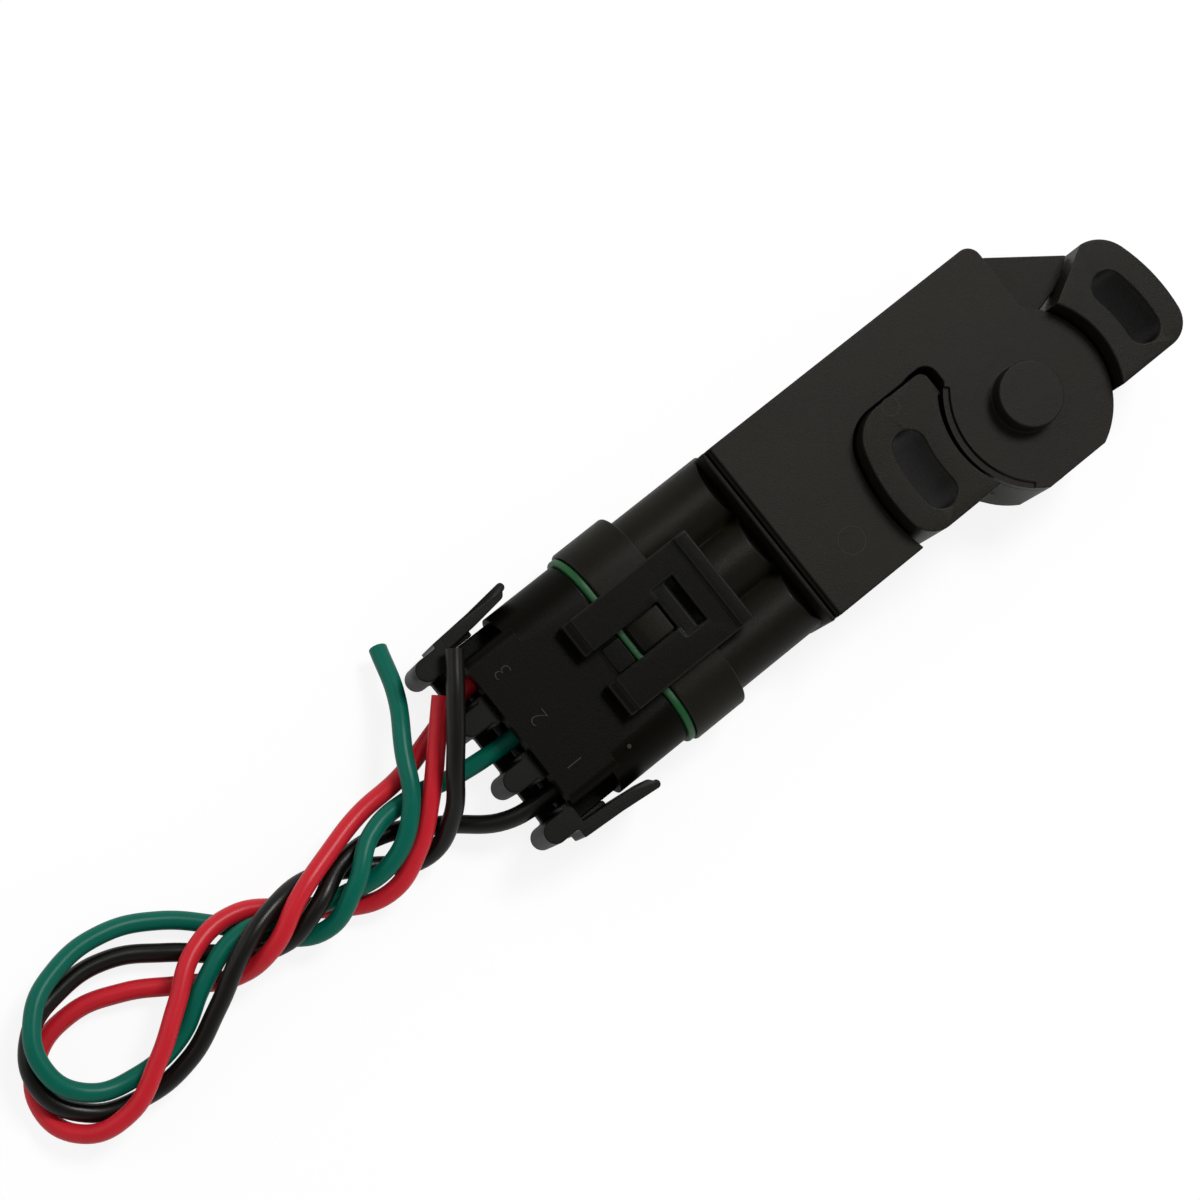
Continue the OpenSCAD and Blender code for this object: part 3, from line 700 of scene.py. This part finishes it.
class Finishes:
    """All finishes of the sensor, built once."""

    def __init__(self) -> None:
        """Builds every material."""
        groups = NodeGroups()
        self.housing = MouldedPlastic(
            "housing_black", (0.0072, 0.0065, 0.0036), 0.40, tone_change=0.9, grain_depth=0.05
        ).build(groups)
        self.cover = MouldedPlastic(
            "cover_black", (0.0120, 0.0102, 0.0072), 0.42, tone_change=0.9, grain_depth=0.05
        ).build(groups)
        self.plug = MouldedPlastic(
            "plug_black", (0.0022, 0.0019, 0.0007), 0.40, specular=0.06
        ).build(groups)
        self.lock = MouldedPlastic(
            "lock_black", (0.0070, 0.0068, 0.0060), 0.40, grain_depth=0.02
        ).build(groups)
        # Lighter, glossier edge finishes: a painted highlight along the rounded edges of the housing, the
        # plug and the comb lock
        self.housing_edge_highlight = MouldedPlastic(
            "housing_edge_highlight", (0.0120, 0.0112, 0.0098), 0.34, grain_depth=0.006
        ).build(groups)
        self.plug_edge_highlight = MouldedPlastic(
            "plug_edge_highlight", (0.0105, 0.0100, 0.0088), 0.32, grain_depth=0.006
        ).build(groups)
        self.marks = MouldedPlastic(
            "mould_marks", (0.030, 0.028, 0.024), 0.45, grain_depth=0.01
        ).build(groups)
        self.rotor = MouldedPlastic(
            "rotor_acetal", (0.62, 0.58, 0.48), 0.4, grain_depth=0.004
        ).build(groups)
        self.board = MouldedPlastic("board_laminate", (0.09, 0.05, 0.02), 0.45).build(groups)
        self.green_seal = SmoothSkin(
            "green_silicone", (0.003, 0.070, 0.015), 0.45, specular=0.35, size=900
        ).build(groups)
        self.black_seal = SmoothSkin("black_rubber", (0.012, 0.012, 0.012), 0.6).build(groups)
        self.leads = {
            name: SmoothSkin(f"{name}_insulation", colour, roughness, specular=specular).build(groups)
            for name, colour, roughness, specular in (
                ("red", (0.60, 0.014, 0.026), 0.34, 0.25),
                ("green", (0.0, 0.124, 0.083), 0.34, 0.17),
                ("black", (0.0046, 0.0041, 0.0032), 0.32, 0.28),
            )
        }
        self.copper = SmoothSkin(
            "copper_strands", (0.62, 0.27, 0.13), 0.35, metallic=1.0, size=3000
        ).build(groups)
        self.tin = SmoothSkin("tin_plate", (0.62, 0.60, 0.55), 0.28, metallic=1.0).build(groups)
        self.steel = SmoothSkin("spring_steel", (0.5, 0.5, 0.5), metallic=1.0).build(groups)
        self.alloy = SmoothSkin("wiper_alloy", (0.75, 0.52, 0.25), metallic=1.0).build(groups)


@dataclass
class Viewpoint:
    """The photograph's camera, in the shared frame and in millimetres."""

    place: tuple[float, float, float] = (-167.4, 14.3, 430.0)
    right: tuple[float, float, float] = (0.7597, -0.6220, 0.1894)
    up: tuple[float, float, float] = (0.6035, 0.7830, 0.1505)
    lens: float = 99.0
    sensor: float = 36.0
    nearest: float = 10.0
    farthest: float = 20000.0

    def build(self) -> None:
        """Adds the camera and makes it the scene's."""
        right = Vector(self.right).normalized()
        back = right.cross(Vector(self.up)).normalized()
        up = back.cross(right)
        data = bpy.data.cameras.new("camera")
        data.lens = self.lens
        data.sensor_width = self.sensor
        data.clip_end = self.farthest * MM
        data.clip_start = self.nearest * MM
        camera = bpy.data.objects.new("camera", data)
        bpy.context.scene.collection.objects.link(camera)
        camera.matrix_world = Matrix.Translation(Vector(self.place) * MM) @ Matrix(
            (right, up, back)
        ).transposed().to_4x4()
        bpy.context.scene.camera = camera


@dataclass
class Studio:
    """White floor, pale surroundings and soft lamps, with all lengths in metres."""

    floor_size: float = 3.0
    floor_place: tuple[float, float, float] = (-0.065, 0.007, -0.0004)
    floor_colour: float = 0.82
    floor_roughness: float = 0.9
    floor_specular: float = 0.1
    # Share of the floor's own light in what the camera sees, and in what glossy rays see
    floor_white: float = 0.8
    floor_gloss: float = 0.25
    floor_glow: float = 1.08
    # Brightness of the surroundings, and the heights between which it changes
    horizon: float = 0.8
    zenith: float = 0.22
    horizon_z: float = 0.1
    zenith_z: float = 0.85
    key_place: tuple[float, float, float] = (0.36, 0.14, 0.72)
    key_power: float = 3.9
    key_size: float = 0.25
    fill_place: tuple[float, float, float] = (-0.5, 0.8, 0.8)
    fill_power: float = 1.2
    fill_size: float = 0.8
    lamp_aim: tuple[float, float, float] = (-0.05, 0.01, 0)

    def build(self) -> None:
        """Adds the world, the floor and the lamps."""
        bpy.context.scene.view_settings.view_transform = "Standard"
        self._world()
        self._floor()
        self._lamp("key_lamp", self.key_place, self.key_power, self.key_size)
        self._lamp("fill_lamp", self.fill_place, self.fill_power, self.fill_size)

    def _world(self) -> None:
        """Gives the world a bright horizon and a darker top, seen white by the camera."""
        world = bpy.data.worlds.new("studio")
        bpy.context.scene.world = world
        world.use_nodes = True
        n, link = world.node_tree.nodes, world.node_tree.links.new
        n.clear()
        coord, split = n.new("ShaderNodeTexCoord"), n.new("ShaderNodeSeparateXYZ")
        link(coord.outputs["Generated"], split.inputs[0])
        level = n.new("ShaderNodeMapRange")
        level.inputs["From Min"].default_value = self.horizon_z
        level.inputs["From Max"].default_value = self.zenith_z
        level.inputs["To Min"].default_value = self.horizon
        level.inputs["To Max"].default_value = self.zenith
        link(split.outputs["Z"], level.inputs["Value"])
        light, seen = n.new("ShaderNodeBackground"), n.new("ShaderNodeBackground")
        for background in (light, seen):
            background.inputs["Color"].default_value = (1, 1, 1, 1)
        link(level.outputs[0], light.inputs["Strength"])
        path, mix = n.new("ShaderNodeLightPath"), n.new("ShaderNodeMixShader")
        link(path.outputs["Is Camera Ray"], mix.inputs["Fac"])
        link(light.outputs[0], mix.inputs[1])
        link(seen.outputs[0], mix.inputs[2])
        link(mix.outputs[0], n.new("ShaderNodeOutputWorld").inputs[0])

    def _floor(self) -> None:
        """Adds the white floor, which keeps a soft shadow and shows white to the camera."""
        clear_selection()
        bpy.ops.mesh.primitive_plane_add(size=self.floor_size, location=self.floor_place)
        floor = bpy.context.object
        floor.name = "floor"
        settle_in_mesh(floor)
        mat, shader = add_material("floor_white")
        n, link = mat.node_tree.nodes, mat.node_tree.links.new
        shader.inputs["Base Color"].default_value = (*[self.floor_colour] * 3, 1)
        shader.inputs["Roughness"].default_value = self.floor_roughness
        shader.inputs["Specular IOR Level"].default_value = self.floor_specular
        glow, path, mix = (
            n.new(f"ShaderNode{kind}") for kind in ("Emission", "LightPath", "MixShader")
        )
        glow.inputs["Strength"].default_value = self.floor_glow
        seen = add_math(mat.node_tree, "MULTIPLY", 1, self.floor_white)
        share = add_math(mat.node_tree, "MULTIPLY_ADD", 1, self.floor_gloss)
        link(path.outputs["Is Camera Ray"], seen.inputs[0])
        link(path.outputs["Is Glossy Ray"], share.inputs[0])
        link(seen.outputs[0], share.inputs[2])
        link(share.outputs[0], mix.inputs["Fac"])
        link(shader.outputs[0], mix.inputs[1])
        link(glow.outputs[0], mix.inputs[2])
        link(mix.outputs[0], n["Material Output"].inputs[0])
        dress(floor, mat)

    def _lamp(self, name: str, place: tuple[float, float, float], power: float, size: float) -> None:
        """Adds a square lamp that faces the sensor.

        Args:
            name: The lamp's name.
            place: Where it stands.
            power: Its power in watts.
            size: Its side.
        """
        data = bpy.data.lights.new(name, "AREA")
        data.energy = power
        data.size = size
        lamp = bpy.data.objects.new(name, data)
        bpy.context.scene.collection.objects.link(lamp)
        lamp.location = place
        aim = Vector(place) - Vector(self.lamp_aim)
        lamp.rotation_euler = aim.to_track_quat("Z", "Y").to_euler()


@dataclass
class Lead:
    """One free lead of the pigtail, from its crimp to its cut end, in millimetres."""

    colour: str
    route: Route
    diameter: float = 2.5
    core: float = 1.3
    strands: int = 7
    strand_sides: int = 10
    strand_length: float = 0.5
    # How far the strands' middle lies inside the cut end
    strand_inset: float = 0.2
    # Share of a strand's radius that its rounded end takes
    strand_round: float = 0.2
    steps_along: int = 10
    steps_round: int = 5

    def build(self, skin: bpy.types.Material, copper: bpy.types.Material) -> None:
        """Makes the lead as a curve, with its strands showing in the cut end.

        Args:
            skin: Finish of the insulation.
            copper: Finish of the strands.
        """
        curve = bpy.data.curves.new(f"{self.colour}_lead", "CURVE")
        curve.dimensions = "3D"
        curve.resolution_u = self.steps_along
        curve.bevel_depth = self.diameter / 2 * MM
        curve.bevel_resolution = self.steps_round
        curve.use_fill_caps = True
        spline = curve.splines.new("BEZIER")
        spline.bezier_points.add(len(self.route) - 1)
        for knot, point in zip(spline.bezier_points, self.route):
            knot.co = Vector(point) * MM
            knot.handle_left_type = knot.handle_right_type = "AUTO"
        lead = bpy.data.objects.new(f"{self.colour}_lead", curve)
        bpy.context.scene.collection.objects.link(lead)
        dress(lead, skin)
        core = self._cut_end(copper)
        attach(lead, SENSOR_BODY)
        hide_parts(f"wire_{self.colour}")
        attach(core, SENSOR_BODY)
        length = spline.calc_length()
        [v * MM for v in self.route[0]]
        LOG.info("%s lead %.1f mm", self.colour, length / MM)

    def _cut_end(self, copper: bpy.types.Material) -> bpy.types.Object:
        """Makes the bundle of strands that shows in the cut end.

        Args:
            copper: Finish of the strands.

        Returns:
            The strands as one mesh object.
        """
        tip, before = Vector(self.route[-1]), Vector(self.route[-2])
        out = (tip - before).normalized()
        turn = out.to_track_quat("Z", "Y").to_matrix().to_4x4()
        # Three strands lie side by side across the core
        strand_r = self.core / 6
        parts = []
        for k in range(self.strands):
            ring = 0 if k == 0 else 2 * strand_r
            angle = 2 * math.pi * k / (self.strands - 1)
            clear_selection()
            bpy.ops.mesh.primitive_cylinder_add(
                vertices=self.strand_sides, radius=strand_r * MM, depth=self.strand_length * MM,
                location=(ring * math.cos(angle) * MM, ring * math.sin(angle) * MM, 0), calc_uvs=False,
            )
            strand = bpy.context.object
            bpy.ops.object.mode_set(mode="EDIT")
            bpy.ops.mesh.select_all(action="SELECT")
            bpy.ops.mesh.bevel(offset=strand_r * self.strand_round * MM, segments=1)
            bpy.ops.object.mode_set(mode="OBJECT")
            parts.append(strand)
        clear_selection()
        for part in parts:
            part.select_set(True)
        bpy.context.view_layer.objects.active = parts[0]
        bpy.ops.object.join()
        core = bpy.context.object
        core.name = f"{self.colour}_strands"
        settle_in_mesh(core)
        core.data.transform(Matrix.Translation(tip * MM - out * self.strand_inset * MM) @ turn)
        dress(core, copper)
        return core


RED_ROUTE: Route = [
    (-75.7, 16.15, 6.7), (-83.5, 16.15, 6.7), (-90.5, 14.2, 5.6), (-97, 12.5, 4.8), (-104.5, 12, 5.2),
    (-111, 10.5, 6.8), (-117.5, 8.5, 8), (-124, 5.5, 7), (-129.5, 5.5, 3.8), (-135.5, 9, 1.7),
    (-142, 13, 1.4), (-149, 15, 1.4), (-155.5, 13.2, 1.4), (-159, 7.8, 1.5), (-157, 2.2, 3.2),
    (-151, 0.5, 5.2), (-144, 3.5, 6.4), (-138, 7.5, 6.4), (-132, 11.5, 5.4), (-125, 12, 3.4),
    (-119, 8.5, 1.6), (-113.5, 4, 1.6), (-107.5, 1.5, 3.4), (-101.5, 3.5, 5.8), (-96, 8, 7.6),
    (-91, 13.2, 8.4), (-87, 17.4, 8.8),
]
GREEN_ROUTE: Route = [
    (-75.7, 7.35, 6.7), (-83.5, 7.35, 6.7), (-91, 8, 5.2), (-98, 9.5, 4.8), (-105, 9, 6.6),
    (-111, 5, 7.2), (-117, 3, 4.6), (-122.5, 6.5, 1.9), (-127.5, 12.5, 1.4), (-133, 17.5, 1.6),
    (-139.5, 20.5, 2.8), (-147, 20.5, 4.4), (-153, 17.5, 6), (-155.8, 11.5, 6.2), (-153.5, 6, 4.8),
    (-147, 3.5, 3.6), (-140, 4, 4), (-133.5, 7.5, 5.2), (-126.5, 9.5, 4.8), (-119.5, 7.5, 4),
    (-112, 5, 3.8), (-105, 4.5, 6), (-99, 8.5, 8), (-95, 15, 7.4), (-91, 21, 5.2),
    (-88.5, 27.5, 2.6),
]
BLACK_ROUTE: Route = [
    (-75.7, -1.45, 6.7), (-83.5, -1.45, 6.7), (-89.8, -0.6, 4.8), (-96.5, 4.2, 2.6), (-103.5, 8, 3),
    (-110, 8.5, 5.2), (-116.5, 6, 7), (-122.5, 5, 4.8), (-128.5, 8.5, 2), (-134.5, 13.5, 1.4),
    (-141, 17.5, 1.6), (-148, 18.2, 2.4), (-154.8, 15.8, 3.6), (-157.7, 10, 4), (-155, 4, 3),
    (-148.5, 1, 2.8), (-141, 1, 3.8), (-134, 4, 5.8), (-127.5, 7.5, 7.6), (-121, 9.5, 6.8),
    (-114.5, 9.5, 3.8), (-107.5, 6, 2), (-101, 2.2, 3), (-95.7, 4, 6.9), (-91.5, 9.4, 11.3),
    (-86.9, 15.4, 12.9), (-82.6, 21, 12.9),
]


class Pigtail:
    """The three loose leads."""

    def __init__(self) -> None:
        """Takes the leads' routes."""
        self.leads = [Lead("red", RED_ROUTE), Lead("green", GREEN_ROUTE), Lead("black", BLACK_ROUTE)]

    def build(self, finishes: Finishes) -> None:
        """Makes all leads.

        Args:
            finishes: The sensor's finishes.
        """
        for lead in self.leads:
            lead.build(finishes.leads[lead.colour], finishes.copper)


@dataclass
class SensorBody:
    """Housing with its ears, shroud and cover plate, in millimetres."""

    housing_round: float = 0.25
    cover_round: float = 0.22
    plate_top: float = 13.7
    deck: float = 11.9
    # Fill in the pocket beside the left ear: its floor, its bend round the ear, its outer bend
    # about the rotor's axis, and the points where it meets the pocket's wall
    pocket_floor: float = 5.0
    ear_corner: tuple[float, float] = (-18.31, 6.1)
    corner_radii: tuple[float, float] = (5.75, 6.0)
    corner_angles: tuple[float, float] = (90, 161.6)
    outer_radius: float = 25.6
    outer_angles: tuple[float, float] = (161.6, 151.0)
    wall_start: tuple[tuple[float, float], ...] = ((-11.0, 12.1), (-12.5, 11.85))
    wall_end: tuple[float, float] = (-11.0, 12.4)
    # Ledge beside the left ear, where the cover stays inside the drum
    ledge_drop: float = 0.4
    ledge_centre: tuple[float, float] = (1.7, -0.5)
    ledge_radii: tuple[float, float] = (12.15, 14.5)
    ledge_angles: tuple[float, float] = (139, 229)
    # How far a cut reaches past the top that it cuts
    cut_past: float = 1
    # Centre and radius of each ejector ring, and how thick it stands
    ear_ring: tuple[float, float, float, float] = (-16.84, 10.41, 16.68, 1.2)
    plate_ring: tuple[float, float, float, float] = (-31.65, -0.23, 13.67, 1.9)
    ring_thick: float = 0.06

    def build(self, finishes: Finishes) -> None:
        """Makes the housing and the cover plate.

        Args:
            finishes: The sensor's finishes.
        """
        pocket = self._pocket_corner()
        housing = moulded_copy(
            "housing", "sensor_housing", self.housing_round, finishes.housing, finishes.housing_edge_highlight,
            (Prism(pocket, self.pocket_floor, self.deck),), split=True,
        )
        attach(housing, SENSOR_BODY)
        ledge_floor, ledge_top = self.plate_top - self.ledge_drop, self.plate_top + self.cut_past
        cover = moulded_copy(
            "cover_plate", "sensor_cover", self.cover_round, finishes.cover, finishes.housing_edge_highlight,
            (
                Prism(pocket, self.deck, self.plate_top),
                Prism(self._drum_ledge(), ledge_floor, ledge_top, BlockUse.CUT),
            ),
        )
        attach(cover, SENSOR_BODY)
        self._ring("ejector_ring_ear", self.ear_ring, finishes.marks)
        self._ring("ejector_ring_plate", self.plate_ring, finishes.marks)
        LOG.info("housing %d faces, cover %d faces", len(housing.data.polygons), len(cover.data.polygons))

    def _ring(
        self, name: str, ring: tuple[float, float, float, float], material: bpy.types.Material
    ) -> None:
        """Makes the faint raised circle that an ejector pin leaves on a moulding.

        Args:
            name: Name of the ring.
            ring: Its centre and radius.
            material: Its finish.
        """
        clear_selection()
        bpy.ops.mesh.primitive_torus_add(
            major_segments=48, minor_segments=6, location=Vector(ring[:3]) * MM,
            major_radius=ring[3] * MM, minor_radius=self.ring_thick * MM,
        )
        mark = bpy.context.object
        mark.name = name
        settle_in_mesh(mark)
        dress(mark, material)
        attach(mark, SENSOR_BODY)

    def _pocket_corner(self) -> Outline:
        """Returns the fill that rounds the pocket's corner and narrows its gap along the left ear's top."""
        inner = arc(self.ear_corner, self.corner_radii, self.corner_angles)
        outer = arc((0, 0), (self.outer_radius,) * 2, self.outer_angles, steps=6)
        return [*self.wall_start, *inner, *outer, self.wall_end]

    def _drum_ledge(self) -> Outline:
        """Returns the strip beside the left ear where the cover stays inside the drum."""
        inner, outer = self.ledge_radii
        start, end = self.ledge_angles
        return [
            *arc(self.ledge_centre, (inner, inner), (start, end), steps=40),
            *arc(self.ledge_centre, (outer, outer), (end, start), steps=20),
        ]


@dataclass
class Connector:
    """Plug with its latch, green seal, comb lock and cavity numbers, in millimetres."""

    plug_round: float = 0.3
    lock_round: float = 0.3
    seal_round: float = 0.25
    top_z: float = 12.35
    latch_top: float = 15.3
    # Low step between the latch's arms: its X and Y ends, its height, and how deep it is rooted
    step: tuple[float, float, float, float] = (-67.4, -64.55, 5.2, 9.1)
    step_height: float = 0.45
    step_root: float = 1
    # Step cut into the rear ends of the latch's arms: its X and Y ends, and its depth
    arm_ends: tuple[float, float, float, float] = (-70.5, -68.9, -1, 16)
    arm_drop: float = 0.6
    # How far a cut reaches past the top that it cuts
    cut_past: float = 1
    number_size: float = 3.6
    number_height: float = 0.12
    number_thin: float = 0.09
    number_sunk: float = 0.02
    number_x: float = -79.3
    number_y: tuple[float, float, float] = (14.9, 7.35, -0.1)
    gate: tuple[float, float] = (-72.38, -2.91)
    gate_radius: float = 0.3
    gate_length: float = 0.2

    def build(self, finishes: Finishes) -> None:
        """Makes the plug's visible pieces.

        Args:
            finishes: The sensor's finishes.
        """
        arm_floor, arm_top = self.latch_top - self.arm_drop, self.latch_top + self.cut_past
        plug = moulded_copy(
            "plug_housing", "plug_body", self.plug_round, finishes.plug, finishes.plug_edge_highlight,
            (
                Prism(box(*self.step), self.top_z - self.step_root, self.top_z + self.step_height),
                Prism(box(*self.arm_ends), arm_floor, arm_top, BlockUse.CUT),
            ),
            split=True,
        )
        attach(plug, SENSOR_BODY)
        seal = moulded_copy(
            "plug_seal", "green_plug_seal", self.seal_round, finishes.green_seal, finishes.green_seal
        )
        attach(seal, SENSOR_BODY)
        lock = moulded_copy("wire_lock", "comb_lock", self.lock_round, finishes.lock, finishes.plug_edge_highlight)
        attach(lock, SENSOR_BODY)
        for word, y in zip("321", self.number_y):
            self._number(word, y, finishes)
        self._gate_mark(finishes)
        LOG.info("plug %d faces, lock %d faces", len(plug.data.polygons), len(lock.data.polygons))

    def _gate_mark(self, finishes: Finishes) -> None:
        """Makes the small pale stub that the moulding gate leaves on the plug.

        Args:
            finishes: The sensor's finishes.
        """
        clear_selection()
        bpy.ops.mesh.primitive_cylinder_add(
            vertices=20, radius=self.gate_radius * MM, depth=self.gate_length * MM,
            location=Vector((*self.gate, self.top_z)) * MM,
        )
        mark = bpy.context.object
        mark.name = "gate_mark"
        settle_in_mesh(mark)
        dress(mark, finishes.marks)
        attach(mark, SENSOR_BODY)

    def _number(self, word: str, y: float, finishes: Finishes) -> None:
        """Raises one cavity number on the plug's rear block.

        Args:
            word: The number.
            y: Its place across the plug, in millimetres.
            finishes: The sensor's finishes.
        """
        clear_selection()
        bpy.ops.object.text_add()
        mark = bpy.context.object
        mark.name = f"cavity_number_{word}"
        mark.data.body = word
        mark.data.size = self.number_size * MM
        mark.data.extrude = self.number_height / 2 * MM
        mark.data.offset = -self.number_thin * MM
        mark.data.align_x = "CENTER"
        mark.data.align_y = "CENTER"
        select_only(mark)
        bpy.ops.object.convert(target="MESH")
        mark.rotation_euler.z = math.radians(90)
        middle = self.top_z + self.number_height / 2 - self.number_sunk
        mark.location = Vector((self.number_x, y, middle)) * MM
        settle_in_mesh(mark)
        dress(mark, finishes.marks)
        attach(mark, SENSOR_BODY)


class InnerWorks:
    """CAD nodes that keep their own shape and get their real finish."""

    def build(self, finishes: Finishes) -> None:
        """Dresses every node that no new piece replaces.

        Args:
            finishes: The sensor's finishes.
        """
        looks = {
            "rotor": finishes.rotor,
            "wiper": finishes.alloy,
            "element_board": finishes.board,
            "return_spring": finishes.steel,
            "shaft_seal": finishes.black_seal,
            "mount_seal": finishes.black_seal,
        }
        for i in (1, 2, 3):
            looks[f"terminal_pin_{i}"] = finishes.tin
            looks[f"socket_terminal_{i}"] = finishes.tin
            looks[f"cable_seal_{i}"] = finishes.green_seal
        for node, finish in looks.items():
            dress(packed_model()["nodes"][node], finish)
        LOG.info("%d inner pieces dressed", len(looks))


def main() -> None:
    """Builds the whole scene in order."""
    logging.basicConfig(level=logging.INFO)
    packed_model()
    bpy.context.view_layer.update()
    finishes = Finishes()
    Viewpoint().build()
    Pigtail().build(finishes)
    Studio().build()
    SensorBody().build(finishes)
    Connector().build(finishes)
    InnerWorks().build(finishes)


if __name__ == "__main__":
    main()
